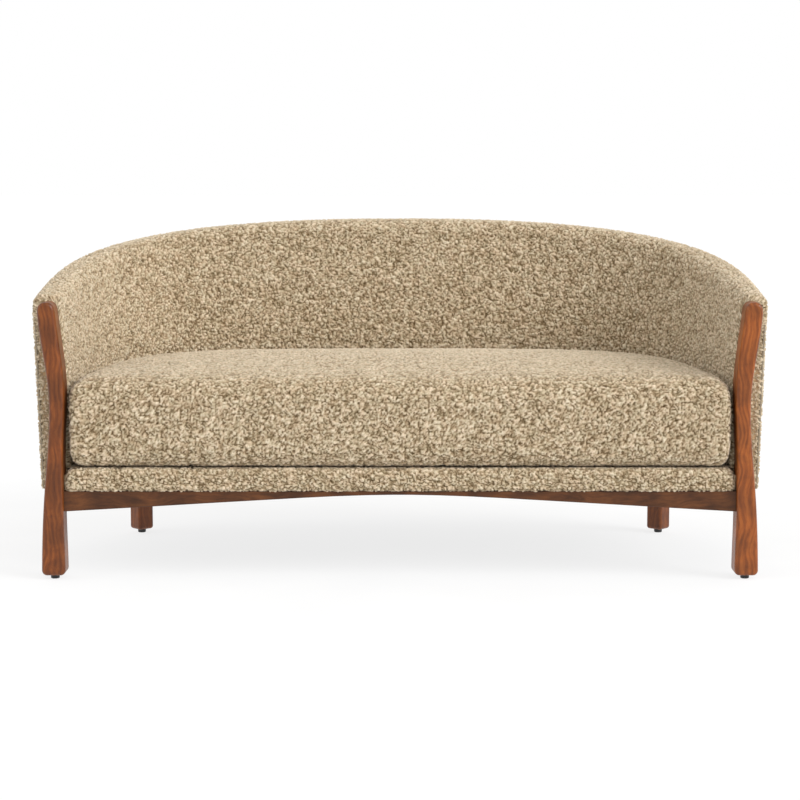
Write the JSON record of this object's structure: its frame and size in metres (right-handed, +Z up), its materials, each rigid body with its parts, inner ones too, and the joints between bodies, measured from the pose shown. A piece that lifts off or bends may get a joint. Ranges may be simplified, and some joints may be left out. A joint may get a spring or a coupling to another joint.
{
  "type": "sofa",
  "caption": "Small barrel-back sofa with a loose bench cushion, wrap-round padded back and arms, sculpted wooden front posts and short back legs.",
  "frame": {"origin": "on the floor in the middle of the footprint, under the centre of the seat", "axes": "+X along the sofa to the sitter's left as seen from the front, +Y from the front edge towards the back, +Z up"},
  "size_m": [1.6717, 0.8001, 0.795],
  "materials": {
    "walnut": "satin lacquer",
    "boucle": "curly wool-like pile",
    "foam": "open-cell foam",
    "lining": "non-woven cloth",
    "webbing": "woven elastic",
    "hardwood": "planed, unfinished",
    "board": "pressed board",
    "zip": "nylon coil",
    "zinc_steel": "zinc plated",
    "insert_steel": "plated",
    "glide_black": "moulded"
  },
  "bodies": {
    "root": {"apron_dowels": "hardwood", "arm_block_left": "hardwood", "arm_block_right": "hardwood", "back_foam": "foam", "back_leg_block_left": "hardwood", "back_leg_block_right": "hardwood", "back_leg_left": "walnut", "back_leg_right": "walnut", "back_liner": "board", "back_uprights": "hardwood", "back_webbing": "webbing", "barrel_nuts": "zinc_steel", "base_rail": "hardwood", "base_studs": "zinc_steel", "bolt_washers": "zinc_steel", "corner_block_screws": "zinc_steel", "corner_blocks": "hardwood", "deck_cloth": "lining", "deck_pad": "foam", "dust_cover": "lining", "front_apron": "walnut", "front_band_cover": "boucle", "front_band_foam": "foam", "front_post_left": "walnut", "front_post_right": "walnut", "glide_inserts": "insert_steel", "inside_back_cover": "boucle", "leg_hanger_bolts": "zinc_steel", "leg_tee_nuts": "zinc_steel", "outside_back_cover": "boucle", "post_bolts": "zinc_steel", "post_inserts": "insert_steel", "seat_front_rail": "hardwood", "seat_springs": "zinc_steel", "seat_stretcher": "hardwood", "spring_clips_back": "zinc_steel", "spring_clips_front": "zinc_steel", "spring_tie_wires": "zinc_steel", "top_rail": "hardwood", "upright_screws": "zinc_steel"},
    "seat_cushion": {"seat_cushion_cover": "boucle", "cushion_core": "foam", "cushion_zip": "zip"},
    "glide_front_left_foot": {"glide_front_left": "glide_black"},
    "glide_front_right_foot": {"glide_front_right": "glide_black"},
    "glide_back_left_foot": {"glide_back_left": "glide_black"},
    "glide_back_right_foot": {"glide_back_right": "glide_black"}
  },
  "joints": [
    {"name": "seat_cushion_lift", "type": "slide", "parent": "root", "child": "seat_cushion", "axis": [0, 0, 1], "range_m": [0, 0.45]},
    {"name": "glide_front_left_screw", "type": "slide", "parent": "root", "child": "glide_front_left_foot", "axis": [0, 0, -1], "range_m": [-0.002, 0.01]},
    {"name": "glide_front_right_screw", "type": "slide", "parent": "root", "child": "glide_front_right_foot", "axis": [0, 0, -1], "range_m": [-0.002, 0.01]},
    {"name": "glide_back_left_screw", "type": "slide", "parent": "root", "child": "glide_back_left_foot", "axis": [0, 0, -1], "range_m": [-0.002, 0.01]},
    {"name": "glide_back_right_screw", "type": "slide", "parent": "root", "child": "glide_back_right_foot", "axis": [0, 0, -1], "range_m": [-0.002, 0.01]}
  ]
}
